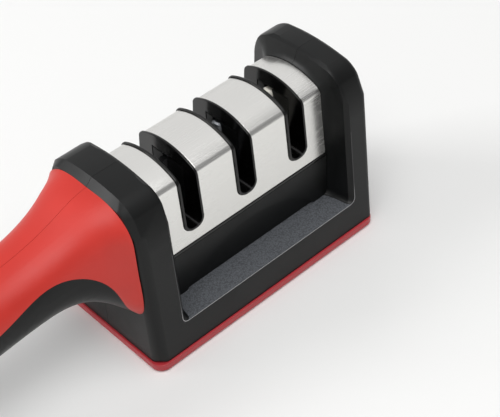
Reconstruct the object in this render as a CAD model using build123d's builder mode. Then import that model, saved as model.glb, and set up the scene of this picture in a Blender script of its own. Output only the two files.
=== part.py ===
from build123d import *

import os
from math import copysign, cos, pi, radians, sin

# Pull through knife sharpener with three stages.
# X runs along the body, with the handle on the -X side. A knife is pulled through a slot along Y.
# Z is up from the table, which is Z = 0, and the origin lies under the middle slot.

os.makedirs("parts", exist_ok=True)

# Body
body_left = 50.5
body_right = 46.8
body_height = 67.2
foot_half_width = 26.0
belly_half_width = 25.4
shoulder_half_width = 21.3
shoulder_drop = 1.6
shoulder_radius = 5.0
end_chamfer = 2.4
end_round = 2.0
shell_wall = 2.6
parting_gap = 0.1

# Recess between the cheeks
rim_inner = 38.6
cove_foot_round = 2.0
ledge_height = 14.4
wall_top = 32.0
wall_half_width = 15.5
cove_shares = (0.0, 0.14, 0.62, 0.88, 1.0)
cove_place_shares = (0.0, 0.35, 0.6, 0.8, 1.0)
arch_radius = 38.0
arch_top = 27.6
arch_depth = 0.7

# Sharpening head
pitch = 22.7
slot_width = 8.4
slot_bottom = 37.9
slot_corner = 3.5
head_half_length = 34.8
head_side_gap = 0.15
crown_height = 62.1
crease_half_width = 13.1
crease_drop = 3.5
crease_radius = 2.6
skirt_half_width = 15.2
sheet = 0.6
sheet_gap = 0.15
bead_height = 1.2
bead_reach = 0.3
lip_wall = 0.9
lip_rise = 0.5
slot_gap = 0.15
spigot_depth = 4.0
spigot_gap = 0.2
tongue_length = 2.6
tongue_half_width = 5.0
tongue_low = 38.0
tongue_high = 44.0
tongue_gap = 0.2

# Stages
cell_half_length = 8.2
cell_half_width = 7.2
cell_roof = 57.0
stage_gap = 0.15
stage_top_gap = 0.4
stage_slot_width = 6.5
stage_slot_floor = 39.0
cross_height = 44.5
lean_angle = 22.0
rod_diameter = 4.4
rod_above = 11.6
rod_below = 8.4
rod_spacing = 4.6
rod_gap = 0.1
rod_round = 0.6
blade_width = 5.0
blade_thickness = 2.0
blade_above = 11.6
blade_below = 9.0
blade_bevel = 0.5
blade_hole_drop = 6.0
blade_screw_diameter = 2.0
blade_screw_head = 3.6
blade_screw_head_height = 1.3
blade_screw_length = 3.2

# Retainer under the stages
retainer_thickness = 3.2
retainer_half_length = 30.6
retainer_half_width = 6.6
retainer_corner = 3.2
retainer_screw_diameter = 2.6
retainer_screw_head = 4.8
retainer_screw_head_height = 1.6
retainer_screw_length = 8.0

# Base
pad_height = 3.2
pad_overhang = 0.7
pad_corner = 4.0
pad_edge = 0.8
plate_thickness = 2.8
plate_gap = 0.2
plate_corner = 2.0
boss_diameter = 7.0
boss_x = 37.0
boss_y = 18.0
base_screw_diameter = 2.6
base_screw_head = 5.0
base_screw_head_height = 1.5
base_screw_length = 7.5
pilot_run = 0.8
thread_gap = 0.05
cross_length_share = 0.6
cross_width_share = 0.14
screw_point_share = 0.25
peg_diameter = 4.0
peg_x = 25.0
peg_y = 15.0
peg_gap = 0.1

# Handle
handle_length = 101.0
grip_skin = 2.2
handle_wall = 2.4
pin_diameter = 3.0
pin_length = 4.0
pin_gap = 0.15
pin_boss_diameter = 5.8
handle_boss_diameter = 6.4
pin_height_shares = (0.34, 0.78)
handle_pin_shares = ((0.33, 0.655), (0.76, 0.575))

# Each row of the handle has its place along the handle, its top and bottom as shares of the body's
# height, its half width as a share of the body's, and how square its section is, where 2 is an ellipse.
handle_shares = (
    (0.000, 0.962, 0.310, 0.860, 5.0),
    (0.022, 0.957, 0.335, 0.785, 4.2),
    (0.065, 0.940, 0.395, 0.680, 3.4),
    (0.155, 0.885, 0.480, 0.570, 2.8),
    (0.340, 0.818, 0.495, 0.520, 2.5),
    (0.540, 0.800, 0.470, 0.545, 2.5),
    (0.740, 0.752, 0.405, 0.535, 2.5),
    (0.890, 0.668, 0.345, 0.460, 2.5),
    (0.970, 0.575, 0.350, 0.330, 2.4),
    (1.000, 0.500, 0.385, 0.200, 2.3),
)
hollow_rows = slice(1, 8)
station_points = 20
top_narrowing_share = 0.08

# The edge of the soft grip, as places along the handle and heights as shares of the body's height.
grip_edge_shares = (
    (-0.02, 0.300),
    (0.030, 0.400),
    (0.090, 0.620),
    (0.200, 0.735),
    (0.400, 0.690),
    (0.650, 0.625),
    (0.900, 0.500),
    (1.050, 0.400),
)

# How far cuts run past what they cut, and how near an edge counts as being at a height
cut_overrun = 5.0
touch = 0.01

# Values worked out from the sizes above
stage_places = (-pitch, 0.0, pitch)
body_length = body_left + body_right
body_middle = (body_right - body_left) / 2
stage_floor = wall_top - spigot_depth
spigot_half_length = head_half_length - shell_wall - spigot_gap
spigot_half_width = wall_half_width - shell_wall - spigot_gap
bead_top = wall_top + bead_height
plate_top = pad_height + plate_thickness
plinth_ceiling = ledge_height - shell_wall
cheek_inner_wall = rim_inner + shell_wall
left_pin_x = -(body_left - shell_wall + cheek_inner_wall) / 2
right_pin_x = (body_right - shell_wall + cheek_inner_wall) / 2
cheek_pin_places = [
    (x, share * body_height) for x in (left_pin_x, right_pin_x) for share in pin_height_shares
]
handle_pin_places = [
    (-body_left - along * handle_length, share * body_height) for along, share in handle_pin_shares
]
pin_places = cheek_pin_places + handle_pin_places
base_screw_places = [(x, y) for x in (-boss_x, boss_x) for y in (-boss_y, boss_y)]
peg_places = [(x, y) for x in (-peg_x, peg_x) for y in (-peg_y, peg_y)]
retainer_screw_places = (-pitch / 2, pitch / 2)
stage_top = cell_roof - stage_top_gap
lean = radians(lean_angle)


def arched_outline(x, foot, foot_height, belly, shoulder, shoulder_height, crown, radius):
    """Outline across the body at x: a flat foot, bowed sides, round shoulders and a crowned top."""
    middle = (foot_height + shoulder_height) / 2
    with BuildSketch(Plane.YZ.offset(x)) as outline:
        with BuildLine():
            Line((-foot, foot_height), (foot, foot_height))
            ThreePointArc((foot, foot_height), (belly, middle), (shoulder, shoulder_height))
            ThreePointArc((shoulder, shoulder_height), (0, crown), (-shoulder, shoulder_height))
            ThreePointArc((-shoulder, shoulder_height), (-belly, middle), (-foot, foot_height))
        make_face()
        fillet(outline.vertices().group_by(Axis.Y)[-1], radius)
    return outline.sketch


cheek_sizes = (
    foot_half_width,
    pad_height,
    belly_half_width,
    shoulder_half_width,
    body_height - shoulder_drop,
    body_height,
    shoulder_radius,
)
head_sizes = (
    wall_half_width,
    pad_height,
    (wall_half_width + crease_half_width) / 2,
    crease_half_width + sheet_gap,
    crown_height - crease_drop + sheet_gap,
    crown_height + sheet_gap,
    crease_radius,
)


def cheek_outline(x, inset=0.0):
    """The body's side outline at x, drawn in by inset everywhere but at the foot."""
    foot, low, belly, shoulder, shoulder_height, crown, radius = cheek_sizes
    return arched_outline(
        x, foot - inset, low, belly - inset, shoulder - inset, shoulder_height - inset, crown - inset, radius
    )


def cove_outline(side, place_share, share):
    """An outline of the cove between a cheek's rim and the head, on one side of the middle."""
    x = side * (rim_inner - (rim_inner - head_half_length) * place_share)
    sizes = [rim + (head - rim) * share for rim, head in zip(cheek_sizes, head_sizes)]
    return arched_outline(x, *sizes)


def head_outline(x, inset, bottom):
    """The section of the head at x, drawn in by inset from the steel cover's outer face."""
    lean_out = skirt_half_width - crease_half_width
    low_drop = crown_height - crease_drop - bead_top
    foot = skirt_half_width + lean_out * (bead_top - bottom) / low_drop
    with BuildSketch(Plane.YZ.offset(x)) as outline:
        with BuildLine():
            Line((-foot, bottom), (foot, bottom))
            Line((foot, bottom), (crease_half_width, crown_height - crease_drop))
            ThreePointArc(
                (crease_half_width, crown_height - crease_drop),
                (0, crown_height),
                (-crease_half_width, crown_height - crease_drop),
            )
            Line((-crease_half_width, crown_height - crease_drop), (-foot, bottom))
        make_face()
        fillet(outline.vertices().group_by(Axis.Y)[-1], crease_radius)
        if inset:
            offset(amount=-inset, kind=Kind.INTERSECTION)
    return outline.sketch


def slot_blocks(width, bottom, corner):
    """The spaces of the three slots, right through along Y, with round lower corners."""
    height = crown_height + cut_overrun - bottom
    with BuildPart() as block:
        with BuildSketch(Plane.XZ.offset(-foot_half_width)) as outline:
            with Locations(*[(x, bottom) for x in stage_places]):
                Rectangle(width, height, align=(Align.CENTER, Align.MIN))
            fillet(outline.vertices().group_by(Axis.Y)[0], corner)
        extrude(amount=2 * foot_half_width)
    return block.part


def lean_plane(x, side, depth):
    """A plane at the crossing of a stage's pair, its Z leaning to one side and its Y along the slot."""
    return Plane(
        origin=(x, side * depth, cross_height),
        x_dir=(cos(lean), 0, -side * sin(lean)),
        z_dir=(side * sin(lean), 0, cos(lean)),
    )


def handle_station(row, inset):
    """Section of the handle for one row of shares, drawn in by inset, a little narrower at its top."""
    along, top_share, bottom_share, width_share, squareness = row
    half_width = width_share * foot_half_width - inset
    half_height = (top_share - bottom_share) * body_height / 2 - inset
    middle = (top_share + bottom_share) * body_height / 2
    points = []
    for step in range(station_points):
        across = cos(2 * pi * step / station_points)
        up = sin(2 * pi * step / station_points)
        bulge = copysign(abs(across) ** (2 / squareness), across)
        rise = copysign(abs(up) ** (2 / squareness), up)
        points.append((half_width * bulge * (1 - top_narrowing_share * rise), middle + half_height * rise))
    with BuildSketch(Plane.YZ.offset(-body_left - along * handle_length)) as section:
        with BuildLine():
            Spline(*points, periodic=True)
        make_face()
    return section.sketch


def handle_form(inset, rows):
    """The handle as one smooth form, drawn in by inset."""
    with BuildPart() as form:
        for row in rows:
            add(handle_station(row, inset))
        loft()
    return form.part


# Solid forms that the pieces are cut from
with BuildPart() as grip_region:
    with BuildSketch(Plane.XZ):
        with BuildLine():
            edge = [
                (-body_left - along * handle_length, height * body_height) for along, height in grip_edge_shares
            ]
            Spline(*edge)
            Polyline(
                edge[-1],
                (edge[-1][0], body_height + cut_overrun),
                (edge[0][0], body_height + cut_overrun),
                edge[0],
            )
        make_face()
    extrude(amount=foot_half_width, both=True)

handle_outer = handle_form(0.0, handle_shares)
handle_core = handle_form(grip_skin, handle_shares)
handle_hollow = handle_form(grip_skin + handle_wall, handle_shares[hollow_rows])

with BuildPart() as grip_form:
    add(handle_outer)
    add(grip_region.part, mode=Mode.INTERSECT)
    add(handle_core, mode=Mode.SUBTRACT)

with BuildPart() as cove_left:
    for place_share, share in zip(cove_place_shares, cove_shares):
        add(cove_outline(-1, place_share, share))
    loft(ruled=True)

with BuildPart() as pin_bosses:
    for x, height in cheek_pin_places:
        with Locations(Location((x, 0, height), (90, 0, 0))):
            Cylinder(pin_boss_diameter / 2, 2 * foot_half_width)
    add(cheek_outline(-body_left, shell_wall / 2))
    extrude(amount=body_length, dir=(1, 0, 0), mode=Mode.INTERSECT)

with BuildPart() as handle_bosses:
    for x, height in handle_pin_places:
        with Locations(Location((x, 0, height), (90, 0, 0))):
            Cylinder(handle_boss_diameter / 2, 2 * foot_half_width)
    add(handle_form(grip_skin + handle_wall / 2, handle_shares[hollow_rows]), mode=Mode.INTERSECT)

with BuildPart() as body_form:
    add(cheek_outline(-body_left))
    extrude(amount=body_length, dir=(1, 0, 0))
    left_edges = body_form.faces().sort_by(Axis.X)[0].edges()
    chamfer(left_edges.sort_by(Axis.Z)[1:], end_chamfer)
    right_edges = body_form.faces().sort_by(Axis.X)[-1].edges()
    fillet(right_edges.sort_by(Axis.Z)[1:], end_round)
    # The recess goes right through from cheek to cheek, and the wall and coves are added back
    with BuildSketch(Plane.XY.offset(ledge_height)):
        Rectangle(2 * rim_inner, 2 * foot_half_width + cut_overrun)
    extrude(amount=body_height, mode=Mode.SUBTRACT)
    add(cove_left.part)
    add(mirror(cove_left.part, about=Plane.YZ))
    with BuildSketch(Plane.XY.offset(pad_height)):
        Rectangle(2 * head_half_length, 2 * wall_half_width)
    extrude(amount=wall_top - pad_height)
    # A shallow arch is let into the wall, front and rear
    with BuildSketch(Plane.XZ.offset(wall_half_width), Plane.XZ.offset(-wall_half_width)):
        with Locations((0, arch_top - arch_radius)):
            Circle(arch_radius)
        with Locations((0, ledge_height)):
            Rectangle(2 * arch_radius, arch_radius, align=(Align.CENTER, Align.MIN), mode=Mode.INTERSECT)
    extrude(amount=arch_depth, both=True, mode=Mode.SUBTRACT)
    cove_feet = body_form.edges().filter_by_position(Axis.Z, ledge_height - touch, ledge_height + touch)
    cove_feet = cove_feet.filter_by(lambda edge: head_half_length < abs(edge.center().X) < rim_inner)
    fillet(cove_feet.filter_by(lambda edge: abs(edge.center().Y) > wall_half_width), cove_foot_round)
    # Hollows of the plinth, the two cheeks and the shaft under the head
    with BuildSketch(Plane.XY.offset(pad_height)):
        with Locations((body_middle, 0)):
            Rectangle(body_length - 2 * shell_wall, 2 * (foot_half_width - shell_wall))
    extrude(amount=plinth_ceiling - pad_height, mode=Mode.SUBTRACT)
    with BuildSketch(Plane.XY.offset(pad_height)):
        Rectangle(2 * (head_half_length - shell_wall), 2 * (wall_half_width - shell_wall))
    extrude(amount=wall_top - pad_height, mode=Mode.SUBTRACT)
    add(cheek_outline(-(body_left - shell_wall), shell_wall))
    extrude(amount=body_left - shell_wall - cheek_inner_wall, dir=(1, 0, 0), mode=Mode.SUBTRACT)
    add(cheek_outline(cheek_inner_wall, shell_wall))
    extrude(amount=body_right - shell_wall - cheek_inner_wall, dir=(1, 0, 0), mode=Mode.SUBTRACT)
    # Pockets for the head's end tongues
    with BuildSketch(Plane.YZ.offset(-head_half_length - tongue_length - tongue_gap)):
        with Locations((0, (tongue_low + tongue_high) / 2)):
            Rectangle(2 * (tongue_half_width + tongue_gap), tongue_high - tongue_low + 2 * tongue_gap)
    extrude(
        amount=2 * (head_half_length + tongue_length + tongue_gap), dir=(1, 0, 0), mode=Mode.SUBTRACT
    )
    # The handle's black underside and core
    add(handle_outer)
    add(grip_form.part, mode=Mode.SUBTRACT)
    add(handle_hollow, mode=Mode.SUBTRACT)
    add(pin_bosses.part)
    add(handle_bosses.part)
    with Locations(*[(x, y, plate_top) for x, y in base_screw_places]):
        Cylinder(boss_diameter / 2, plinth_ceiling - plate_top, align=(Align.CENTER, Align.CENTER, Align.MIN))
        Cylinder(
            base_screw_diameter / 2 + thread_gap,
            base_screw_length + base_screw_head_height - plate_thickness + pilot_run,
            align=(Align.CENTER, Align.CENTER, Align.MIN),
            mode=Mode.SUBTRACT,
        )

# Front and rear shell: two halves that meet at Y = 0, with pins on the front one
with BuildPart() as front_shell:
    add(body_form.part)
    split(bisect_by=Plane.XZ.offset(parting_gap / 2), keep=Keep.TOP)
    with Locations(*[Location((x, -pin_length, z), (-90, 0, 0)) for x, z in pin_places]):
        Cylinder(pin_diameter / 2, 2 * pin_length, align=(Align.CENTER, Align.CENTER, Align.MIN))
front_shell.part.label = "front_shell"
export_step(front_shell.part, "parts/front_shell.step")

with BuildPart() as rear_shell:
    add(body_form.part)
    split(bisect_by=Plane.XZ.offset(-parting_gap / 2), keep=Keep.BOTTOM)
    with Locations(*[Location((x, 0, z), (-90, 0, 0)) for x, z in pin_places]):
        Cylinder(
            pin_diameter / 2 + pin_gap,
            pin_length + 2 * pin_gap,
            align=(Align.CENTER, Align.CENTER, Align.MIN),
            mode=Mode.SUBTRACT,
        )
rear_shell.part.label = "rear_shell"
export_step(rear_shell.part, "parts/rear_shell.step")

# Soft grip, moulded over each half of the handle
with BuildPart() as front_grip:
    add(grip_form.part)
    split(bisect_by=Plane.XZ.offset(parting_gap / 2), keep=Keep.TOP)
front_grip.part.label = "front_grip"
export_step(front_grip.part, "parts/front_grip.step")

with BuildPart() as rear_grip:
    add(grip_form.part)
    split(bisect_by=Plane.XZ.offset(-parting_gap / 2), keep=Keep.BOTTOM)
rear_grip.part.label = "rear_grip"
export_step(rear_grip.part, "parts/rear_grip.step")

# Slot cover: one bent steel sheet with the three slots cut through its front, top and rear
with BuildPart() as slot_cover:
    add(head_outline(-head_half_length + head_side_gap, 0, bead_top))
    extrude(amount=2 * (head_half_length - head_side_gap), dir=(1, 0, 0))
    add(head_outline(-head_half_length - cut_overrun, sheet, bead_top - cut_overrun))
    extrude(amount=2 * (head_half_length + cut_overrun), dir=(1, 0, 0), mode=Mode.SUBTRACT)
    add(slot_blocks(slot_width, slot_bottom, slot_corner), mode=Mode.SUBTRACT)
slot_cover.part.label = "slot_cover"
export_step(slot_cover.part, "parts/slot_cover.step")

# Guide frame: the moulded block under the cover, with a raised lip round each slot
with BuildPart() as lips:
    add(head_outline(-head_half_length, -lip_rise, bead_top))
    extrude(amount=2 * head_half_length, dir=(1, 0, 0))
    add(slot_blocks(slot_width - 2 * slot_gap, slot_bottom + slot_gap, slot_corner), mode=Mode.INTERSECT)

with BuildPart() as guide_frame:
    frame_inset = sheet + sheet_gap
    add(head_outline(-head_half_length + head_side_gap, frame_inset, wall_top - frame_inset))
    extrude(amount=2 * (head_half_length - head_side_gap), dir=(1, 0, 0))
    add(lips.part)
    with BuildSketch(Plane.XY.offset(wall_top)):
        Rectangle(2 * (head_half_length - head_side_gap), 2 * (skirt_half_width + bead_reach))
    extrude(amount=bead_height)
    with BuildSketch(Plane.XY.offset(stage_floor)):
        Rectangle(2 * spigot_half_length, 2 * spigot_half_width)
    extrude(amount=spigot_depth)
    with BuildSketch(Plane.YZ.offset(-head_half_length - tongue_length)):
        with Locations((0, (tongue_low + tongue_high) / 2)):
            Rectangle(2 * tongue_half_width, tongue_high - tongue_low)
    extrude(amount=2 * (head_half_length + tongue_length), dir=(1, 0, 0))
    clear_width = slot_width - 2 * slot_gap - 2 * lip_wall
    clear_bottom = slot_bottom + slot_gap + lip_wall
    add(slot_blocks(clear_width, clear_bottom, slot_corner - lip_wall), mode=Mode.SUBTRACT)
    with BuildSketch(Plane.XY.offset(stage_floor)):
        with Locations(*[(x, 0) for x in stage_places]):
            Rectangle(2 * cell_half_length, 2 * cell_half_width)
    extrude(amount=cell_roof - stage_floor, mode=Mode.SUBTRACT)
    with Locations(*[(x, 0, stage_floor) for x in retainer_screw_places]):
        Cylinder(
            retainer_screw_diameter / 2 + thread_gap,
            retainer_screw_length + retainer_screw_head_height - retainer_thickness + pilot_run,
            align=(Align.CENTER, Align.CENTER, Align.MIN),
            mode=Mode.SUBTRACT,
        )
guide_frame.part.label = "guide_frame"
export_step(guide_frame.part, "parts/guide_frame.step")

# Sharpening elements: a crossed pair in each stage, one leaning to each side
for stage, x in (("medium", 0.0), ("fine", pitch)):
    for name, side in (("left", -1), ("right", 1)):
        with BuildPart(lean_plane(x, side, rod_spacing / 2)) as rod:
            with Locations((0, 0, -rod_below)):
                Cylinder(
                    rod_diameter / 2, rod_above + rod_below, align=(Align.CENTER, Align.CENTER, Align.MIN)
                )
            chamfer(rod.edges().filter_by(GeomType.CIRCLE), rod_round)
        rod.part.label = f"{stage}_rod_{name}"
        export_step(rod.part, f"parts/{stage}_rod_{name}.step")

for name, side in (("left", -1), ("right", 1)):
    with BuildPart(lean_plane(-pitch, side, (blade_thickness + blade_bevel) / 2)) as blade:
        with Locations((0, 0, -blade_below)):
            Box(
                blade_width,
                blade_thickness,
                blade_above + blade_below,
                align=(Align.CENTER, Align.CENTER, Align.MIN),
            )
        with Locations(Location((0, 0, -blade_hole_drop), (90, 0, 0))):
            Hole(blade_screw_diameter / 2 + thread_gap)
    blade.part.label = f"coarse_blade_{name}"
    export_step(blade.part, f"parts/coarse_blade_{name}.step")


def stage_holder(name, x, seats):
    """A block that fits its cell in the frame, slotted from the top, with the seats cut away."""
    with BuildPart() as holder:
        with BuildSketch(Plane.XY.offset(stage_floor)):
            with Locations((x, 0)):
                Rectangle(2 * (cell_half_length - stage_gap), 2 * (cell_half_width - stage_gap))
        extrude(amount=stage_top - stage_floor)
        with BuildSketch(Plane.XY.offset(stage_slot_floor)):
            with Locations((x, 0)):
                Rectangle(stage_slot_width, 2 * cell_half_width)
        extrude(amount=stage_top, mode=Mode.SUBTRACT)
        for seat in seats:
            add(seat, mode=Mode.SUBTRACT)
    holder.part.label = name
    export_step(holder.part, f"parts/{name}.step")


def rod_seat(x, side):
    """The space round a rod, open upwards so that the rod drops in."""
    with BuildPart(lean_plane(x, side, rod_spacing / 2)) as seat:
        with Locations((0, 0, -rod_below - rod_gap)):
            Cylinder(
                rod_diameter / 2 + rod_gap,
                rod_below + rod_above + cut_overrun,
                align=(Align.CENTER, Align.CENTER, Align.MIN),
            )
    return seat.part


def blade_seat(side):
    """The space round a carbide blade, with its screw's hole and a recess for the screw's head."""
    depth = (blade_thickness + blade_bevel) / 2
    with BuildPart(lean_plane(-pitch, side, depth)) as seat:
        with Locations((0, 0, -blade_below - rod_gap)):
            Box(
                blade_width + 2 * rod_gap,
                blade_thickness + 2 * rod_gap,
                blade_below + blade_above + cut_overrun,
                align=(Align.CENTER, Align.CENTER, Align.MIN),
            )
        with Locations(Location((0, 0, -blade_hole_drop), (-90 * side, 0, 0))):
            Cylinder(
                blade_screw_head / 2 + rod_gap,
                cell_half_width,
                align=(Align.CENTER, Align.CENTER, Align.MIN),
            )
        with Locations(Location((0, 0, -blade_hole_drop), (90 * side, 0, 0))):
            Cylinder(
                blade_screw_diameter / 2 + thread_gap,
                blade_screw_length,
                align=(Align.CENTER, Align.CENTER, Align.MIN),
            )
    return seat.part


# Stage holders: one block a stage, with a slot and seats for its pair
stage_holder("coarse_holder", -pitch, [blade_seat(side) for side in (-1, 1)])
stage_holder("medium_holder", 0.0, [rod_seat(0.0, side) for side in (-1, 1)])
stage_holder("fine_holder", pitch, [rod_seat(pitch, side) for side in (-1, 1)])


def screw(diameter, length, head, head_height):
    """A pan head screw, its head's seat at Z = 0, its shank up +Z and a cross cut in its head."""
    with BuildPart() as part:
        Cylinder(diameter / 2, length, align=(Align.CENTER, Align.CENTER, Align.MIN))
        chamfer(part.edges().sort_by(Axis.Z)[-1], diameter * screw_point_share)
        Cylinder(head / 2, head_height, align=(Align.CENTER, Align.CENTER, Align.MAX))
        with Locations((0, 0, -head_height)):
            Box(head * cross_length_share, head * cross_width_share, head_height, mode=Mode.SUBTRACT)
            Box(head * cross_width_share, head * cross_length_share, head_height, mode=Mode.SUBTRACT)
    return part.part


# Screws that hold the two carbide blades in the coarse holder
with BuildPart() as blade_screws:
    for side in (-1, 1):
        seat = lean_plane(-pitch, side, (blade_thickness + blade_bevel) / 2)
        face = side * blade_thickness / 2
        with Locations(seat.location * Location((0, face, -blade_hole_drop), (90 * side, 0, 0))):
            add(screw(blade_screw_diameter, blade_screw_length, blade_screw_head, blade_screw_head_height))
blade_screws.part.label = "blade_screws"
export_step(blade_screws.part, "parts/blade_screws.step")

# Retainer: a bar across the frame that holds the three stages up in their cells
with BuildPart() as stage_retainer:
    with BuildSketch(Plane.XY.offset(stage_floor - retainer_thickness)):
        RectangleRounded(2 * retainer_half_length, 2 * retainer_half_width, retainer_corner)
    extrude(amount=retainer_thickness)
    with Locations(*[(x, 0, stage_floor - retainer_thickness) for x in retainer_screw_places]):
        Cylinder(
            retainer_screw_diameter / 2 + thread_gap,
            retainer_thickness,
            align=(Align.CENTER, Align.CENTER, Align.MIN),
            mode=Mode.SUBTRACT,
        )
        Cylinder(
            retainer_screw_head / 2 + rod_gap,
            retainer_screw_head_height,
            align=(Align.CENTER, Align.CENTER, Align.MIN),
            mode=Mode.SUBTRACT,
        )
stage_retainer.part.label = "stage_retainer"
export_step(stage_retainer.part, "parts/stage_retainer.step")

with BuildPart() as retainer_screws:
    seat_height = stage_floor - retainer_thickness + retainer_screw_head_height
    with Locations(*[(x, 0, seat_height) for x in retainer_screw_places]):
        add(
            screw(
                retainer_screw_diameter, retainer_screw_length, retainer_screw_head, retainer_screw_head_height
            )
        )
retainer_screws.part.label = "retainer_screws"
export_step(retainer_screws.part, "parts/retainer_screws.step")

# Base plate: closes the plinth from below and ties the two shells together
with BuildPart() as base_plate:
    with BuildSketch(Plane.XY.offset(pad_height)):
        with Locations((body_middle, 0)):
            RectangleRounded(
                body_length - 2 * (shell_wall + plate_gap),
                2 * (foot_half_width - shell_wall - plate_gap),
                plate_corner,
            )
    extrude(amount=plate_thickness)
    with Locations(*[(x, y, pad_height) for x, y in base_screw_places]):
        Cylinder(
            base_screw_diameter / 2 + thread_gap,
            plate_thickness,
            align=(Align.CENTER, Align.CENTER, Align.MIN),
            mode=Mode.SUBTRACT,
        )
        Cylinder(
            base_screw_head / 2 + rod_gap,
            base_screw_head_height,
            align=(Align.CENTER, Align.CENTER, Align.MIN),
            mode=Mode.SUBTRACT,
        )
    with Locations(*[(x, y, pad_height) for x, y in peg_places]):
        Cylinder(
            peg_diameter / 2 + peg_gap,
            plate_thickness,
            align=(Align.CENTER, Align.CENTER, Align.MIN),
            mode=Mode.SUBTRACT,
        )
base_plate.part.label = "base_plate"
export_step(base_plate.part, "parts/base_plate.step")

with BuildPart() as base_screws:
    with Locations(*[(x, y, pad_height + base_screw_head_height) for x, y in base_screw_places]):
        add(screw(base_screw_diameter, base_screw_length, base_screw_head, base_screw_head_height))
base_screws.part.label = "base_screws"
export_step(base_screws.part, "parts/base_screws.step")

# Base pad: soft sole under the whole body, pressed into the base plate by its pegs
with BuildPart() as base_pad:
    with BuildSketch():
        with Locations((body_middle, 0)):
            RectangleRounded(
                body_length + 2 * pad_overhang, 2 * (foot_half_width + pad_overhang), pad_corner
            )
    extrude(amount=pad_height)
    chamfer(base_pad.faces().sort_by(Axis.Z)[0].edges(), pad_edge)
    with Locations(*[(x, y, pad_height) for x, y in peg_places]):
        Cylinder(peg_diameter / 2, plate_thickness, align=(Align.CENTER, Align.CENTER, Align.MIN))
base_pad.part.label = "base_pad"
export_step(base_pad.part, "parts/base_pad.step")
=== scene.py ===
import bpy
import bmesh
from bpy.props import FloatProperty, FloatVectorProperty, PointerProperty
from math import radians
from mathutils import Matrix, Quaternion, Vector
from mathutils.bvhtree import BVHTree


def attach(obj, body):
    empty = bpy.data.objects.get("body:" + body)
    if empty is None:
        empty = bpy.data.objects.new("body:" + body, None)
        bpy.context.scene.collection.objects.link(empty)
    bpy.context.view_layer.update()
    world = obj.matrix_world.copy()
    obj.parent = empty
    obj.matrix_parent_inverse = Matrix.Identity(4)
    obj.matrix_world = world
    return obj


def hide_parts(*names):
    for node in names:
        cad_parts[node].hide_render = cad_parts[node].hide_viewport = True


bl_info = {
    "name": "Pull Through Knife Sharpener",
    "version": (1, 0, 0),
    "blender": (4, 5, 0),
    "location": "View3D > Sidebar > Sharpener",
    "description": "Finishes the packed model of a pull through knife sharpener and sets its studio",
    "category": "Object",
}

MM = 0.001
BODY = "sharpener"
# Points nearer than this are merged, and faces within this angle become one flat
MERGE_DISTANCE = 0.002 * MM
FLAT_ANGLE = radians(0.3)
# Edges over the first angle are rounded, and those over the second are shaded sharp
SHARP_ANGLE = radians(28.0)
SMOOTH_ANGLE = radians(32.0)
# Most of a noise's values lie in this range
NOISE_RANGE = {"From Min": 0.3, "From Max": 0.7}
# How much rougher the ledges' grain is, and how far the sheen varies from patch to patch
LEDGE_MATTING = 0.12
STEEL_PATCHES = 0.06
RUBBER_PATCHES = 0.04
# Share of the painted rim highlight that is left up the cheeks
CHEEK_HIGHLIGHT = 0.12

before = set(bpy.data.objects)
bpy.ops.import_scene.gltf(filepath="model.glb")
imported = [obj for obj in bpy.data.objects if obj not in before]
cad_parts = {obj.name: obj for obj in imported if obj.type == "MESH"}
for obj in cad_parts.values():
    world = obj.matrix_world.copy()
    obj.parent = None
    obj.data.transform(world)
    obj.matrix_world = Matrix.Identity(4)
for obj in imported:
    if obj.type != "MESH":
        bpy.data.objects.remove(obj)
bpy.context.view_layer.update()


def linear(hex_colour):
    """Turns an sRGB hex value into Blender's linear colour."""
    channels = [int(hex_colour[place:place + 2], 16) / 255 for place in (1, 3, 5)]
    return tuple(c / 12.92 if c <= 0.04045 else ((c + 0.055) / 1.055) ** 2.4 for c in channels) + (1.0,)


def colour_property(name, description, hex_colour):
    """A colour that a user may change, with its default as sRGB hex."""
    return FloatVectorProperty(
        name=name, description=description, default=linear(hex_colour), size=4, min=0.0, max=1.0,
        subtype="COLOR",
    )


def length_property(name, description, millimetres):
    """A length that a user may change, with its default in millimetres."""
    return FloatProperty(
        name=name, description=description, default=millimetres * MM, precision=5, unit="LENGTH"
    )


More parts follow.
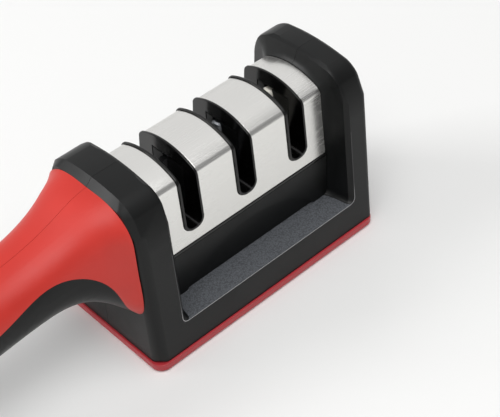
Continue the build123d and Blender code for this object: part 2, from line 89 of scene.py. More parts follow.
class SharpenerSizes(bpy.types.PropertyGroup):
    """Real sizes of the body, its edges and the grains, and the placing of the painted highlight on the
    recesses' rims.
    """

    ledge_height: length_property("Ledge height", "Height of the ledges beside the wall", 14.4)
    pad_height: length_property("Pad height", "Height of the body's foot above the table", 3.2)
    foot_half_width: length_property("Foot half width", "Half the width of the body at its foot", 26.0)
    crown_height: length_property("Crown height", "Height at which the shoulders end", 66.6)
    shoulder_round: length_property("Shoulder rounding", "Radius of the cheeks' shoulders", 13.5)
    rim_place: length_property("Rim", "Distance of the cheeks' rims from the middle", 38.6)
    head_end: length_property("Head end", "Distance of the head's ends from the middle", 34.8)
    body_left: length_property("Left end", "Distance of the body's left end from the middle", 50.5)
    handle_blend: length_property("Handle blend", "Run in which the handle leaves the body's form", 9.0)
    wall_half_width: length_property("Wall half width", "Half the width of the wall under the head", 15.5)
    recess_corner: length_property("Recess corner", "Radius of the recesses' lower corners", 2.0)
    contact: length_property("Contact", "How near counts as touching", 0.01)
    corner_round: length_property("Corner rounding", "Width of the rounded upright corners", 1.6)
    corner_along: length_property("Corners beyond", "Where the left end's corners begin along the body", 46.0)
    corner_aside: length_property("Corners aside", "Where the left end's corners begin to the side", 18.0)
    corner_top: length_property("Corners' top", "Height at which the upright corners end", 58.0)
    edge_round: length_property("Edge rounding", "Width of the rounded edges of the mouldings", 0.45)
    seam_margin: length_property("Seam margin", "Run beside the parting line that keeps its edges", 1.0)
    foot_margin: length_property("Foot margin", "Height up to which the shells keep their edges", 3.5)
    frame_margin: length_property("Frame margin", "Height up to which the frame keeps its edges", 31.0)
    pad_margin: length_property("Pad margin", "Height up to which the pad keeps its edges", 3.0)
    lip_round: length_property("Lip rounding", "Width of the rounded edges of the guide frame", 0.225)
    sheet_edge: length_property("Sheet edge", "Width of the deburred edge of the steel cover", 0.12)
    flat_band: length_property("Flat band", "How far from the ledge's height its flat is grained", 0.06)
    # Where the painted highlight line on the recesses' rims lies, and how it fades up the cheeks
    highlight_offset: length_property("Highlight offset", "Distance of the worn line from a recess's outline", 0.22)
    highlight_line: length_property("Highlight line", "Half the width of the worn line on a recess's rim", 0.11)
    highlight_reach: length_property("Highlight reach", "How far in from the foot's side the wear may lie", 3.0)
    highlight_rise: length_property("Highlight rise", "Height over the ledge in which the wear fades", 8.0)
    stipple: length_property("Stipple", "Grain of the spark-eroded finish on the shells", 0.35)
    pebble: length_property("Pebble", "Grain of the coarser finish on the ledges", 0.5)
    grip_grain: length_property("Grip grain", "Grain of the soft touch rubber", 0.28)
    sheen_patch: length_property("Sheen patch", "Size of the slow changes in the sheen", 14.0)
    brush_pitch: length_property("Brush pitch", "Spacing of the brushed lines on the steel", 0.16)
    brush_run: length_property("Brush run", "Length of the brushed lines on the steel", 9.0)
    grit: length_property("Grit", "Size of the diamond grit", 0.22)
    grinding_pitch: length_property("Grinding pitch", "Spacing of the grinding lines on the carbide", 0.14)
    grinding_run: length_property("Grinding run", "Length of the grinding lines on the carbide", 5.0)
    mottle: length_property("Mottle", "Size of the mottling of the zinc plate", 0.5)
    fibre: length_property("Fibre", "Size of the changes in the paper's sheen", 2.5)


class SharpenerShares(bpy.types.PropertyGroup):
    """Slopes and shares of the cheeks' outline."""

    side_lean: FloatProperty(
        name="Side lean", description="How far the sides lean in for each unit up", default=0.073
    )
    foot_clearance: FloatProperty(
        name="Foot clearance", description="Least height that is measured, as a share of the foot's",
        default=1.01,
    )
    plinth_reach: FloatProperty(
        name="Plinth reach",
        description="Share of the foot's half width from which the plinth is drawn in full", default=0.9,
    )


class SharpenerColours(bpy.types.PropertyGroup):
    """Colours of the finishes, and of the painted highlight on the recesses' rims."""

    black: colour_property("Black", "Satin black of the shells", "#0c0d0d")
    ledge: colour_property("Ledge black", "Greyer black of the grained ledges", "#6b6e73")
    # Painted highlight: a light grey laid on the recesses' outer rims in place of their edges' reflection
    edge_highlight: colour_property("Highlighted edge", "Grey of the highlighted rims of the recesses", "#b0b0b2")
    gloss_black: colour_property("Gloss black", "Black of the guide frame", "#040404")
    grip: colour_property("Grip red", "Red of the soft grip", "#c4281c")
    pad: colour_property("Pad red", "Red of the sole", "#b02c34")
    steel: colour_property("Steel", "Reflection colour of the stainless cover", "#e4e3e0")
    screw: colour_property("Screw", "Reflection colour of the zinc plated screws", "#b9bcc0")
    carbide: colour_property("Carbide", "Reflection colour of the ground carbide", "#8b8b8e")
    diamond: colour_property("Diamond", "Reflection colour of the diamond plating", "#7d7f83")
    ceramic: colour_property("Ceramic", "White of the ceramic rods", "#ece8dd")
    floor: colour_property("Floor", "Pale paper floor", "#f2f2f1")


class SharpenerStudio(bpy.types.PropertyGroup):
    """Camera, surroundings, lamps and floor."""

    aim: FloatVectorProperty(
        name="Aim", description="Point that the camera looks at", default=(0.01409, 0.00099, 0.01027),
        subtype="XYZ", unit="LENGTH",
    )
    azimuth: FloatProperty(
        name="Azimuth", description="Turn of the view round the object", default=radians(-40.8),
        subtype="ANGLE",
    )
    elevation: FloatProperty(
        name="Elevation", description="Height of the view above the horizon", default=radians(44.1),
        subtype="ANGLE",
    )
    roll: FloatProperty(
        name="Roll", description="Tilt of the picture", default=radians(-3.31), subtype="ANGLE"
    )
    distance: FloatProperty(
        name="Distance", description="From the camera to its aim", default=0.5082, unit="LENGTH"
    )
    lens: FloatProperty(name="Lens", description="Focal length in millimetres", default=106.43)
    sky: FloatProperty(
        name="Sky", description="Strength of the white surroundings on the object", default=0.36
    )
    reflected_sky: FloatProperty(
        name="Reflected sky", description="Strength of the white surroundings in reflections", default=0.86
    )
    dim_side: FloatProperty(
        name="Dim side", description="Strength of the reflections from above the front", default=0.3
    )
    dim_towards: FloatVectorProperty(
        name="Dim towards", description="Direction of the dim side", default=(0.45, -0.7, 0.55),
        subtype="XYZ",
    )
    overhead: FloatProperty(
        name="Overhead", description="Strength of the large lamp overhead", default=32.0, subtype="POWER"
    )
    overhead_size: FloatProperty(
        name="Overhead size", description="Side of the lamp overhead", default=1.76, unit="LENGTH"
    )
    overhead_place: FloatVectorProperty(
        name="Overhead place", description="Place of the lamp overhead", default=(-0.35, -0.48, 2.08),
        subtype="XYZ", unit="LENGTH",
    )
    key: FloatProperty(
        name="Key", description="Strength of the soft lamp behind on the handle's side", default=15.5,
        subtype="POWER",
    )
    key_size: FloatProperty(
        name="Key size", description="Side of the lamp behind", default=0.8, unit="LENGTH"
    )
    key_place: FloatVectorProperty(
        name="Key place", description="Place of the lamp behind", default=(-1.36, 1.06, 1.15),
        subtype="XYZ", unit="LENGTH",
    )
    floor_size: FloatProperty(
        name="Floor size", description="Side of the paper floor", default=6.0, unit="LENGTH"
    )


def add_node(tree, kind, inputs=None, **settings):
    """Adds a node with its settings, and links or sets its inputs."""
    node = tree.nodes.new(kind)
    for name, value in settings.items():
        setattr(node, name, value)
    for name, value in (inputs or {}).items():
        if isinstance(value, bpy.types.NodeSocket):
            tree.links.new(value, node.inputs[name])
        else:
            node.inputs[name].default_value = value
    return node


def new_material(name):
    """A material with its tree and the place on the object in millimetres."""
    material = bpy.data.materials.new(name)
    material.use_nodes = True
    tree = material.node_tree
    tree.nodes.clear()
    place = add_node(tree, "ShaderNodeTexCoord")
    scaled = add_node(
        tree, "ShaderNodeVectorMath", {0: place.outputs["Object"], "Scale": 1 / MM}, operation="SCALE"
    )
    return material, tree, scaled.outputs["Vector"]


def finish_material(tree, inputs):
    """Ends a tree with the principled shader that takes these inputs."""
    shader = add_node(tree, "ShaderNodeBsdfPrincipled", inputs)
    add_node(tree, "ShaderNodeOutputMaterial", {"Surface": shader.outputs["BSDF"]})


def ledge_flats(tree, distances, sizes):
    """A mask that is 1 on the flats of the two ledges, between the cheeks."""
    axes = add_node(tree, "ShaderNodeSeparateXYZ", {"Vector": distances})
    # Only the flat of a ledge is grained, so the band is a fraction of a millimetre thick
    level = add_node(
        tree, "ShaderNodeMath",
        {0: axes.outputs["Z"], 1: sizes.ledge_height / MM, 2: sizes.flat_band / MM},
        operation="COMPARE",
    )
    between = add_node(
        tree, "ShaderNodeMath", {0: axes.outputs["X"], 1: sizes.rim_place / MM}, operation="LESS_THAN"
    )
    return add_node(
        tree, "ShaderNodeMath", {0: level.outputs["Value"], 1: between.outputs["Value"]},
        operation="MULTIPLY",
    ).outputs["Value"]


def rim_highlight_mask(tree, distances, sizes):
    """A mask of a painted highlight line along the recesses' outer rims, full below and fainter up the
    cheeks.
    """
    # A rim and its round lower corners lie where the distance past the corners' centres is their radius
    corner = sizes.recess_corner
    past = add_node(
        tree, "ShaderNodeVectorMath",
        {
            0: distances, 1: (1.0, 0.0, -1.0),
            2: ((corner - sizes.rim_place) / MM, 0.0, (corner + sizes.ledge_height) / MM),
        },
        operation="MULTIPLY_ADD",
    )
    beyond = add_node(
        tree, "ShaderNodeVectorMath", {0: past.outputs["Vector"], 1: (0.0, 0.0, 0.0)}, operation="MAXIMUM"
    )
    distance = add_node(tree, "ShaderNodeVectorMath", {0: beyond.outputs["Vector"]}, operation="LENGTH")
    line = add_node(
        tree, "ShaderNodeMath",
        {0: distance.outputs["Value"], 1: (corner + sizes.highlight_offset) / MM, 2: sizes.highlight_line / MM},
        operation="COMPARE",
    )
    axes = add_node(tree, "ShaderNodeSeparateXYZ", {"Vector": distances})
    outermost = add_node(
        tree, "ShaderNodeMath", {0: axes.outputs["Y"], 1: (sizes.foot_half_width - sizes.highlight_reach) / MM},
        operation="GREATER_THAN",
    )
    rim = add_node(
        tree, "ShaderNodeMath", {0: line.outputs["Value"], 1: outermost.outputs["Value"]},
        operation="MULTIPLY",
    )
    # The painted highlight fades to a share of itself up the cheeks
    glint = add_node(
        tree, "ShaderNodeMapRange",
        {
            "Value": axes.outputs["Z"], "From Min": sizes.ledge_height / MM,
            "From Max": (sizes.ledge_height + sizes.highlight_rise) / MM, "To Min": 1.0, "To Max": CHEEK_HIGHLIGHT,
        },
    )
    return add_node(
        tree, "ShaderNodeMath", {0: rim.outputs["Value"], 1: glint.outputs["Result"]}, operation="MULTIPLY"
    ).outputs["Value"]


def finish_black_abs(tree, colour, height, rough):
    """Ends a material of black ABS with its colour, its grain's height and its roughness."""
    bump = add_node(
        tree, "ShaderNodeBump", {"Height": height, "Strength": 0.5, "Distance": 0.05 * MM}
    )
    finish_material(tree, {
        "Base Color": colour, "Roughness": rough, "IOR": 1.33, "Normal": bump.outputs["Normal"],
    })


def moulded_black_abs(name, sizes, colours, ledges):
    """ABS moulded in a spark-eroded tool: deep black with a satin sheen and a fine even stipple.
    On the ledges the tool is grained more coarsely, and reads greyer, and a light grey line is painted along
    the recesses' outer rims as a highlight."""
    material, tree, place = new_material(name)
    stipple = add_node(
        tree, "ShaderNodeTexNoise", {"Vector": place, "Scale": MM / sizes.stipple, "Detail": 2.0}
    )
    height = add_node(
        tree, "ShaderNodeMapRange", {"Value": stipple.outputs["Fac"], "To Max": 0.35}
    ).outputs["Result"]
    cloud = add_node(
        tree, "ShaderNodeTexNoise", {"Vector": place, "Scale": MM / sizes.sheen_patch, "Detail": 4.0}
    )
    rough = add_node(
        tree, "ShaderNodeMapRange",
        {"Value": cloud.outputs["Fac"], **NOISE_RANGE, "To Min": 0.33, "To Max": 0.42},
    ).outputs["Result"]
    if not ledges:
        finish_black_abs(tree, colours.black, height, rough)
        return material
    # The recesses are alike front and rear, left and right, so places have no sign here
    distances = add_node(tree, "ShaderNodeVectorMath", {0: place}, operation="ABSOLUTE").outputs["Vector"]
    flat = ledge_flats(tree, distances, sizes)
    # Pebbles drawn about twice as coarse as life, so that they show in the picture
    pebbles = add_node(tree, "ShaderNodeTexVoronoi", {"Vector": place, "Scale": MM / sizes.pebble})
    dome = add_node(
        tree, "ShaderNodeMapRange",
        {"Value": pebbles.outputs["Distance"], "From Max": 0.8, "To Min": 1.0, "To Max": 0.0},
    )
    height = add_node(
        tree, "ShaderNodeMath", {0: dome.outputs["Result"], 1: flat, 2: height}, operation="MULTIPLY_ADD"
    ).outputs["Value"]
    rough = add_node(
        tree, "ShaderNodeMath", {0: flat, 1: LEDGE_MATTING, 2: rough}, operation="MULTIPLY_ADD"
    ).outputs["Value"]
    speckle = add_node(
        tree, "ShaderNodeMapRange",
        {"Value": pebbles.outputs["Distance"], "From Max": 0.8, "To Min": 1.0, "To Max": 0.45},
    )
    grained = add_node(
        tree, "ShaderNodeMath", {0: speckle.outputs["Result"], 1: flat}, operation="MULTIPLY"
    )
    moulded = add_node(
        tree, "ShaderNodeMixRGB",
        {"Fac": grained.outputs["Value"], "Color1": colours.black, "Color2": colours.ledge},
    )
    # Painted highlight: the rims' line is mixed towards a light grey
    glinting = add_node(
        tree, "ShaderNodeMixRGB",
        {
            "Fac": rim_highlight_mask(tree, distances, sizes), "Color1": moulded.outputs["Color"],
            "Color2": colours.edge_highlight,
        },
    )
    finish_black_abs(tree, glinting.outputs["Color"], height, rough)
    return material


def polished_black_abs(sizes, colours):
    """ABS moulded in a polished tool: jet black, wet looking, with sharp highlights along its lips."""
    material, tree, place = new_material("polished_black_abs")
    flow = add_node(
        tree, "ShaderNodeTexNoise", {"Vector": place, "Scale": MM / sizes.sheen_patch, "Detail": 5.0}
    )
    rough = add_node(
        tree, "ShaderNodeMapRange",
        {"Value": flow.outputs["Fac"], **NOISE_RANGE, "To Min": 0.12, "To Max": 0.2},
    )
    bump = add_node(
        tree, "ShaderNodeBump", {"Height": flow.outputs["Fac"], "Strength": 0.2, "Distance": 0.4 * MM}
    )
    finish_material(tree, {
        "Base Color": colours.gloss_black, "Roughness": rough.outputs["Result"], "IOR": 1.4,
        "Normal": bump.outputs["Normal"],
    })
    return material


def soft_touch_rubber(name, colour, sizes, roughness, sheen):
    """Thermoplastic elastomer, moulded: saturated red, matt with a broad soft highlight and a faint
    dusty sheen at grazing angles."""
    material, tree, place = new_material(name)
    grain = add_node(
        tree, "ShaderNodeTexNoise", {"Vector": place, "Scale": MM / sizes.grip_grain, "Detail": 3.0}
    )
    cloud = add_node(
        tree, "ShaderNodeTexNoise", {"Vector": place, "Scale": MM / sizes.sheen_patch, "Detail": 4.0}
    )
    shade = add_node(
        tree, "ShaderNodeMapRange",
        {"Value": cloud.outputs["Fac"], **NOISE_RANGE, "To Min": 0.96, "To Max": 1.04},
    )
    tone = add_node(
        tree, "ShaderNodeHueSaturation", {"Color": colour, "Value": shade.outputs["Result"]}
    )
    rough = add_node(
        tree, "ShaderNodeMapRange",
        {
            "Value": cloud.outputs["Fac"], **NOISE_RANGE,
            "To Min": roughness - RUBBER_PATCHES, "To Max": roughness + RUBBER_PATCHES,
        },
    )
    bump = add_node(
        tree, "ShaderNodeBump",
        {"Height": grain.outputs["Fac"], "Strength": 0.35, "Distance": 0.05 * MM},
    )
    finish_material(tree, {
        "Base Color": tone.outputs["Color"], "Roughness": rough.outputs["Result"], "IOR": 1.5,
        "Sheen Weight": sheen, "Sheen Roughness": 0.4, "Normal": bump.outputs["Normal"],
    })
    return material


def brushed_stainless(sizes, colours):
    """Stainless strip, brushed along its length and lightly buffed: bright, with reflections drawn out
    across the brush lines, and fine scratches that catch the light."""
    material, tree, place = new_material("brushed_stainless_steel")
    # Lines about ten times as coarse as a real brush leaves, so that they show
    stretched = add_node(
        tree, "ShaderNodeMapping",
        {"Vector": place, "Scale": (MM / sizes.brush_run, MM / sizes.brush_pitch, MM / sizes.brush_pitch)},
    )
    brush = add_node(
        tree, "ShaderNodeTexNoise", {"Vector": stretched.outputs["Vector"], "Scale": 1.0, "Detail": 4.0}
    )
    patch = add_node(
        tree, "ShaderNodeTexNoise", {"Vector": place, "Scale": MM / sizes.sheen_patch, "Detail": 2.0}
    )
    lines = add_node(
        tree, "ShaderNodeMapRange",
        {"Value": brush.outputs["Fac"], **NOISE_RANGE, "To Min": 0.16, "To Max": 0.26},
    )
    rough = add_node(
        tree, "ShaderNodeMath", {0: patch.outputs["Fac"], 1: STEEL_PATCHES, 2: lines.outputs["Result"]},
        operation="MULTIPLY_ADD",
    )
    bump = add_node(
        tree, "ShaderNodeBump",
        {"Height": brush.outputs["Fac"], "Strength": 0.05, "Distance": 0.02 * MM},
    )
    finish_material(tree, {
        "Base Color": colours.steel, "Metallic": 1.0, "Roughness": rough.outputs["Value"],
        "Normal": bump.outputs["Normal"],
    })
    return material


def ground_carbide(sizes, colours):
    """Sintered tungsten carbide, ground flat: dark grey metal with fine grinding lines across it."""
    material, tree, place = new_material("ground_tungsten_carbide")
    stretched = add_node(
        tree, "ShaderNodeMapping",
        {
            "Vector": place,
            "Scale": (MM / sizes.grinding_pitch, MM / sizes.grinding_run, MM / sizes.grinding_pitch),
        },
    )
    lines = add_node(
        tree, "ShaderNodeTexNoise", {"Vector": stretched.outputs["Vector"], "Scale": 1.0, "Detail": 3.0}
    )
    rough = add_node(
        tree, "ShaderNodeMapRange",
        {"Value": lines.outputs["Fac"], **NOISE_RANGE, "To Min": 0.26, "To Max": 0.4},
    )
    bump = add_node(
        tree, "ShaderNodeBump",
        {"Height": lines.outputs["Fac"], "Strength": 0.3, "Distance": 0.03 * MM},
    )
    finish_material(tree, {
        "Base Color": colours.carbide, "Metallic": 1.0, "Roughness": rough.outputs["Result"],
        "Normal": bump.outputs["Normal"],
    })
    return material


def diamond_plating(sizes, colours):
    """Steel rod plated with nickel that holds diamond grit: grey metal, rough, with sparkling points."""
    material, tree, place = new_material("diamond_grit_plating")
    grit = add_node(tree, "ShaderNodeTexVoronoi", {"Vector": place, "Scale": MM / sizes.grit})
    sparkle = add_node(tree, "ShaderNodeSeparateColor", {"Color": grit.outputs["Color"]})
    rough = add_node(
        tree, "ShaderNodeMapRange", {"Value": sparkle.outputs["Red"], "To Min": 0.2, "To Max": 0.6}
    )
    bump = add_node(
        tree, "ShaderNodeBump",
        {"Height": grit.outputs["Distance"], "Strength": 0.6, "Distance": 0.1 * MM}, invert=True,
    )
    finish_material(tree, {
        "Base Color": colours.diamond, "Metallic": 1.0, "Roughness": rough.outputs["Result"],
        "Normal": bump.outputs["Normal"],
    })
    return material


def white_alumina(sizes, colours):
    """Sintered alumina ceramic: warm white, eggshell sheen, with a very fine grain."""
    material, tree, place = new_material("white_alumina_ceramic")
    grain = add_node(
        tree, "ShaderNodeTexNoise", {"Vector": place, "Scale": MM / sizes.grit, "Detail": 3.0}
    )
    rough = add_node(
        tree, "ShaderNodeMapRange",
        {"Value": grain.outputs["Fac"], **NOISE_RANGE, "To Min": 0.38, "To Max": 0.5},
    )
    bump = add_node(
        tree, "ShaderNodeBump",
        {"Height": grain.outputs["Fac"], "Strength": 0.2, "Distance": 0.03 * MM},
    )
    finish_material(tree, {
        "Base Color": colours.ceramic, "IOR": 1.76, "Roughness": rough.outputs["Result"],
        "Subsurface Weight": 0.15, "Subsurface Radius": (0.4 * MM, 0.35 * MM, 0.3 * MM),
        "Subsurface Scale": 1.0, "Normal": bump.outputs["Normal"],
    })
    return material


def zinc_plate(sizes, colours):
    """Steel screws with bright zinc plate: cool silver, slightly mottled."""
    material, tree, place = new_material("zinc_plated_steel")
    mottle = add_node(
        tree, "ShaderNodeTexNoise", {"Vector": place, "Scale": MM / sizes.mottle, "Detail": 3.0}
    )
    rough = add_node(
        tree, "ShaderNodeMapRange",
        {"Value": mottle.outputs["Fac"], **NOISE_RANGE, "To Min": 0.22, "To Max": 0.4},
    )
    finish_material(tree, {
        "Base Color": colours.screw, "Metallic": 1.0, "Roughness": rough.outputs["Result"],
    })
    return material


def dress(piece, material):
    """Gives the piece this material in its only slot."""
    piece.data.materials.clear()
    piece.data.materials.append(material)


def repaint(node, material):
    """Gives a CAD node that stays this material."""
    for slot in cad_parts[node].material_slots:
        slot.material = material


def lone_selection(piece):
    """Selects and activates this object alone."""
    bpy.ops.object.select_all(action="DESELECT")
    piece.select_set(True)
    bpy.context.view_layer.objects.active = piece


def refined_copy(node, name):
    """A new piece with the node's mesh, its loose triangles merged and its flats made whole."""
    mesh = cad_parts[node].data.copy()
    mesh.name = name
    piece = bpy.data.objects.new(name, mesh)
    bpy.context.collection.objects.link(piece)
    lone_selection(piece)
    bpy.ops.mesh.customdata_custom_splitnormals_clear()
    bpy.ops.object.mode_set(mode="EDIT")
    bpy.ops.mesh.select_all(action="SELECT")
    bpy.ops.mesh.remove_doubles(threshold=MERGE_DISTANCE)
    bpy.ops.mesh.dissolve_limited(angle_limit=FLAT_ANGLE)
    bpy.ops.object.mode_set(mode="OBJECT")
    return piece


def round_edges(piece, width, chosen, segments=2, clamped=True):
    """Rounds the piece's sharp outward edges whose middle is chosen, as the tool's radius leaves them."""
    lone_selection(piece)
    bpy.ops.object.mode_set(mode="EDIT")
    bpy.ops.mesh.select_mode(type="EDGE")
    bpy.ops.mesh.select_all(action="DESELECT")
    mesh = bmesh.from_edit_mesh(piece.data)
    for edge in mesh.edges:
        if len(edge.link_faces) == 2 and edge.is_convex:
            middle = (edge.verts[0].co + edge.verts[1].co) / 2
            if edge.calc_face_angle() > SHARP_ANGLE and chosen(middle):
                edge.select_set(True)
    bmesh.update_edit_mesh(piece.data)
    bpy.ops.mesh.bevel(
        offset=width, offset_type="OFFSET", segments=segments, profile=0.5, affect="EDGES",
        clamp_overlap=clamped, loop_slide=True,
    )
    bpy.ops.object.mode_set(mode="OBJECT")


def eased(value, low, high):
    """A soft step from 0 at low to 1 at high."""
    share = min(max((value - low) / (high - low), 0.0), 1.0)
    return share * share * (3.0 - 2.0 * share)


def real_half_width(height, sizes, lean):
    """Half width of the real outline at a height: leaning sides and large round shoulders."""
    radius = sizes.shoulder_round
    centre_height = sizes.crown_height - radius
    centre = sizes.foot_half_width - lean * (centre_height - sizes.pad_height) - radius * (1 + lean**2) ** 0.5
    if height < centre_height + radius * lean:
        return sizes.foot_half_width - lean * (height - sizes.pad_height)
    rise = min(height, sizes.crown_height) - centre_height
    return centre + max(radius**2 - rise**2, 0.0) ** 0.5


def slim_shoulders(piece, shell, sizes, shares):
    """Draws the cheeks, the plinth and the handle's root in to the real outline, and leaves the wall
    and the rest of the handle. The plain outline is read off the shell as it was packed."""
    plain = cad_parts[shell].data
    surface = BVHTree.FromPolygons(
        [vertex.co.copy() for vertex in plain.vertices], [face.vertices[:] for face in plain.polygons]
    )
    side = -1.0 if shell == "front_shell" else 1.0
    lowest = sizes.pad_height * shares.foot_clearance
    cheek_middle = -(sizes.rim_place + sizes.body_left) / 2
    for vertex in piece.data.vertices:
        x, y, z = vertex.co
        height = min(max(z, lowest), sizes.crown_height)
        start = (cheek_middle, 2 * sizes.foot_half_width * side, height)
        outer = surface.ray_cast(start, (0.0, -side, 0.0))[0]
        if outer is None:
            raise RuntimeError(f"no side at height {height}")
        cheek = eased(abs(x), sizes.head_end, sizes.rim_place)
        outward = eased(abs(y), sizes.wall_half_width, sizes.foot_half_width * shares.plinth_reach)
        if x < -sizes.body_left - sizes.contact:
            cheek = 1.0 - eased(-x, sizes.body_left, sizes.body_left + sizes.handle_blend)
            outward = 0.0
        factor = real_half_width(height, sizes, shares.side_lean) / abs(outer.y)
        vertex.co.y = y * (1.0 + (factor - 1.0) * max(cheek, outward))


def smooth(piece):
    """Shades the piece smooth, but for its sharp edges, with its large faces kept flat."""
    lone_selection(piece)
    bpy.ops.object.shade_smooth_by_angle(angle=SMOOTH_ANGLE, keep_sharp_edges=False)
    bpy.ops.object.modifier_add(type="WEIGHTED_NORMAL")
    piece.modifiers[-1].keep_sharp = True
    bpy.ops.object.modifier_apply(modifier=piece.modifiers[-1].name)


def settle(piece, material, slot, *nodes):
    """Ends a piece: its material, the nodes that it stands for and its body. The slot is not used."""
    dress(piece, material)
    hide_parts(*nodes)
    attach(piece, BODY)


class SHARPENER_OT_shells(bpy.types.Operator):
    """Finish the two black shells, with leaning sides, round shoulders and the grained ledges"""

    bl_idname = "sharpener.shells"
    bl_label = "Shells"

    def execute(self, context):
        sizes, colours = context.scene.sharpener_sizes, context.scene.sharpener_colours
        black = moulded_black_abs("moulded_black_abs", sizes, colours, ledges=True)

        def upright_corner(middle):
            aside = middle.x < -sizes.corner_along and abs(middle.y) > sizes.corner_aside
            return aside and middle.z < sizes.corner_top

        def outside(middle):
            return abs(middle.y) > sizes.seam_margin and middle.z > sizes.foot_margin

        for node in ("front_shell", "rear_shell"):
            piece = refined_copy(node, node + "_moulding")
            slim_shoulders(piece, node, sizes, context.scene.sharpener_shares)
            round_edges(piece, sizes.corner_round, upright_corner, segments=5, clamped=False)
            round_edges(piece, sizes.edge_round, outside)
            smooth(piece)
            settle(piece, black, "black_body", node)
        return {"FINISHED"}


class SHARPENER_OT_grips(bpy.types.Operator):
    """Finish the two halves of the soft red grip"""

    bl_idname = "sharpener.grips"
    bl_label = "Grips"

    def execute(self, context):
        sizes, colours = context.scene.sharpener_sizes, context.scene.sharpener_colours
        red = soft_touch_rubber("soft_touch_red_tpe", colours.grip, sizes, roughness=0.48, sheen=0.06)
        for node, shell in (("front_grip", "front_shell"), ("rear_grip", "rear_shell")):
            piece = refined_copy(node, node + "_overmould")
            slim_shoulders(piece, shell, sizes, context.scene.sharpener_shares)
            smooth(piece)
            settle(piece, red, "red_grip", node)
        return {"FINISHED"}


class SHARPENER_OT_slot_cover(bpy.types.Operator):
    """Finish the bent steel cover over the slots"""

    bl_idname = "sharpener.slot_cover"
    bl_label = "Slot cover"

    def execute(self, context):
        sizes, colours = context.scene.sharpener_sizes, context.scene.sharpener_colours
        piece = refined_copy("slot_cover", "slot_cover_sheet")
        round_edges(piece, sizes.sheet_edge, lambda middle: True)
        smooth(piece)
        settle(piece, brushed_stainless(sizes, colours), "steel", "slot_cover")
        return {"FINISHED"}


class SHARPENER_OT_guide_frame(bpy.types.Operator):
    """Finish the guide frame, with its glossy lips round the slots"""

    bl_idname = "sharpener.guide_frame"
    bl_label = "Guide frame"

    def execute(self, context):
        sizes, colours = context.scene.sharpener_sizes, context.scene.sharpener_colours
        piece = refined_copy("guide_frame", "guide_frame_moulding")
        round_edges(piece, sizes.lip_round, lambda middle: middle.z > sizes.frame_margin)
        smooth(piece)
        settle(piece, polished_black_abs(sizes, colours), "black_frame", "guide_frame")
        return {"FINISHED"}


class SHARPENER_OT_elements(bpy.types.Operator):
    """Finish the carbide blades, diamond rods and ceramic rods in the slots"""

    bl_idname = "sharpener.elements"
    bl_label = "Sharpening elements"

    def execute(self, context):
        sizes, colours = context.scene.sharpener_sizes, context.scene.sharpener_colours
        for material, nodes in (
            (ground_carbide(sizes, colours), ("coarse_blade_left", "coarse_blade_right")),
            (diamond_plating(sizes, colours), ("medium_rod_left", "medium_rod_right")),
            (white_alumina(sizes, colours), ("fine_rod_left", "fine_rod_right")),
        ):
            for node in nodes:
                repaint(node, material)
        return {"FINISHED"}


class SHARPENER_OT_inner_pieces(bpy.types.Operator):
    """Finish the holders, the retainer, the base plate and the screws"""

    bl_idname = "sharpener.inner_pieces"
    bl_label = "Inner pieces"

    def execute(self, context):
        sizes, colours = context.scene.sharpener_sizes, context.scene.sharpener_colours
        black = moulded_black_abs("moulded_black_abs_inner", sizes, colours, ledges=False)
        for node in ("coarse_holder", "medium_holder", "fine_holder", "stage_retainer", "base_plate"):
            repaint(node, black)
        zinc = zinc_plate(sizes, colours)
        for node in ("blade_screws", "retainer_screws", "base_screws"):
            repaint(node, zinc)
        return {"FINISHED"}


class SHARPENER_OT_base_pad(bpy.types.Operator):
    """Finish the red sole"""

    bl_idname = "sharpener.base_pad"
    bl_label = "Base pad"

    def execute(self, context):
        sizes, colours = context.scene.sharpener_sizes, context.scene.sharpener_colours
        piece = refined_copy("base_pad", "base_pad_sole")
        round_edges(piece, sizes.edge_round, lambda middle: middle.z > sizes.pad_margin)
        smooth(piece)
        red = soft_touch_rubber("red_tpe_sole", colours.pad, sizes, roughness=0.42, sheen=0.1)
        settle(piece, red, "red_pad", "base_pad")
        return {"FINISHED"}


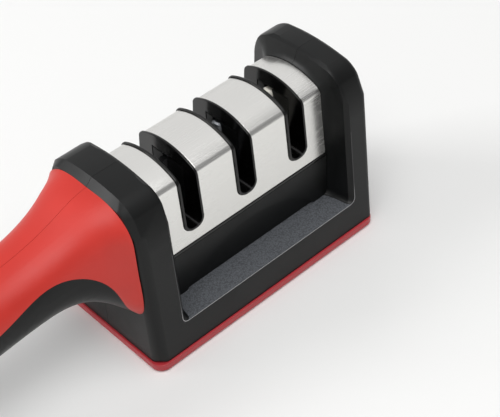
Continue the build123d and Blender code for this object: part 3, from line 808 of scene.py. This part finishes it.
class SHARPENER_OT_stage(bpy.types.Operator):
    """Set the pale floor, the soft lamps, the white surroundings and the camera"""

    bl_idname = "sharpener.stage"
    bl_label = "Stage"

    def execute(self, context):
        colours, studio = context.scene.sharpener_colours, context.scene.sharpener_studio
        context.scene.view_settings.view_transform = "Standard"
        self.floor(context, colours, studio)
        self.surroundings(context, studio)
        self.lamp("overhead_lamp", studio.overhead, studio.overhead_size, Vector(studio.overhead_place))
        self.lamp("key_lamp", studio.key, studio.key_size, Vector(studio.key_place))
        self.camera(context, studio)
        return {"FINISHED"}

    def floor(self, context, colours, studio):
        """A sheet of pale paper, wide enough for every view."""
        bpy.ops.object.select_all(action="DESELECT")
        bpy.ops.mesh.primitive_plane_add(size=studio.floor_size, location=(0.0, 0.0, 0.0))
        floor = context.object
        floor.name = "paper_floor"
        material, tree, place = new_material("matt_white_paper")
        fibres = add_node(
            tree, "ShaderNodeTexNoise",
            {"Vector": place, "Scale": MM / context.scene.sharpener_sizes.fibre, "Detail": 4.0},
        )
        rough = add_node(
            tree, "ShaderNodeMapRange",
            {"Value": fibres.outputs["Fac"], **NOISE_RANGE, "To Min": 0.75, "To Max": 0.85},
        )
        finish_material(tree, {"Base Color": colours.floor, "Roughness": rough.outputs["Result"]})
        dress(floor, material)

    def surroundings(self, context, studio):
        """White surroundings. To the camera and through a piece they are full white. Reflections show
        them a little dimmer, and most so above the front, and they light the object least of all."""
        world = bpy.data.worlds.new("white_studio")
        context.scene.world = world
        world.use_nodes = True
        tree = world.node_tree
        tree.nodes.clear()
        direction = add_node(tree, "ShaderNodeTexCoord")
        towards_dim = add_node(
            tree, "ShaderNodeVectorMath", {0: direction.outputs["Generated"], 1: studio.dim_towards},
            operation="DOT_PRODUCT",
        )
        reflected = add_node(
            tree, "ShaderNodeMapRange",
            {
                "Value": towards_dim.outputs["Value"], "From Min": 0.6, "From Max": 0.98,
                "To Min": studio.reflected_sky, "To Max": studio.dim_side,
            },
            interpolation_type="SMOOTHSTEP",
        )
        path = add_node(tree, "ShaderNodeLightPath")
        seen = add_node(
            tree, "ShaderNodeMath",
            {0: path.outputs["Is Camera Ray"], 1: path.outputs["Is Transmission Ray"]}, operation="MAXIMUM",
        )
        mirrored = add_node(
            tree, "ShaderNodeMapRange",
            {
                "Value": path.outputs["Is Glossy Ray"], "To Min": studio.sky,
                "To Max": reflected.outputs["Result"],
            },
        )
        strength = add_node(
            tree, "ShaderNodeMapRange",
            {"Value": seen.outputs["Value"], "To Min": mirrored.outputs["Result"], "To Max": 1.0},
        )
        background = add_node(
            tree, "ShaderNodeBackground",
            {"Color": (1.0, 1.0, 1.0, 1.0), "Strength": strength.outputs["Result"]},
        )
        add_node(tree, "ShaderNodeOutputWorld", {"Surface": background.outputs["Background"]})

    def lamp(self, name, power, size, place):
        """A square soft lamp at place, turned to the object."""
        bpy.ops.object.select_all(action="DESELECT")
        facing = (-place).to_track_quat("-Z", "Y").to_euler()
        bpy.ops.object.light_add(type="AREA", location=place, rotation=facing)
        lamp = bpy.context.object
        lamp.name = name
        lamp.data.energy = power
        lamp.data.size = size

    def camera(self, context, studio):
        """The camera where the photograph was taken from."""
        turn = Quaternion((0.0, 0.0, 1.0), studio.azimuth)
        tilt = Quaternion((1.0, 0.0, 0.0), radians(90.0) - studio.elevation)
        roll = Quaternion((0.0, 0.0, 1.0), studio.roll)
        facing = turn @ tilt @ roll
        place = Vector(studio.aim) + facing @ Vector((0.0, 0.0, studio.distance))
        bpy.ops.object.select_all(action="DESELECT")
        bpy.ops.object.camera_add(location=place, rotation=facing.to_euler())
        camera = bpy.context.object
        camera.name = "photograph_camera"
        camera.data.sensor_width = 36.0
        camera.data.lens = studio.lens
        camera.data.clip_start = 0.01
        context.scene.camera = camera


class SHARPENER_PT_sidebar(bpy.types.Panel):
    """Lists the pieces of the sharpener in the order in which they are finished, and their values"""

    bl_idname = "SHARPENER_PT_sidebar"
    bl_label = "Knife Sharpener"
    bl_space_type = "VIEW_3D"
    bl_region_type = "UI"
    bl_category = "Sharpener"

    def draw(self, context):
        for operator in OPERATORS:
            self.layout.operator(operator.bl_idname)
        for name in GROUPS:
            group = getattr(context.scene, name)
            box = self.layout.box()
            for value in group.__annotations__:
                box.prop(group, value)


OPERATORS = (
    SHARPENER_OT_shells,
    SHARPENER_OT_grips,
    SHARPENER_OT_slot_cover,
    SHARPENER_OT_guide_frame,
    SHARPENER_OT_elements,
    SHARPENER_OT_inner_pieces,
    SHARPENER_OT_base_pad,
    SHARPENER_OT_stage,
)
GROUPS = {
    "sharpener_sizes": SharpenerSizes,
    "sharpener_shares": SharpenerShares,
    "sharpener_colours": SharpenerColours,
    "sharpener_studio": SharpenerStudio,
}


def register():
    for group in GROUPS.values():
        bpy.utils.register_class(group)
    for operator in OPERATORS:
        bpy.utils.register_class(operator)
    bpy.utils.register_class(SHARPENER_PT_sidebar)
    for name, group in GROUPS.items():
        setattr(bpy.types.Scene, name, PointerProperty(type=group))


def unregister():
    for name in GROUPS:
        delattr(bpy.types.Scene, name)
    bpy.utils.unregister_class(SHARPENER_PT_sidebar)
    for operator in reversed(OPERATORS):
        bpy.utils.unregister_class(operator)
    for group in reversed(GROUPS.values()):
        bpy.utils.unregister_class(group)


def main():
    """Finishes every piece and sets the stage."""
    register()
    bpy.ops.sharpener.shells()
    bpy.ops.sharpener.grips()
    bpy.ops.sharpener.slot_cover()
    bpy.ops.sharpener.guide_frame()
    bpy.ops.sharpener.elements()
    bpy.ops.sharpener.inner_pieces()
    bpy.ops.sharpener.base_pad()
    bpy.ops.sharpener.stage()


if __name__ == "__main__":
    main()
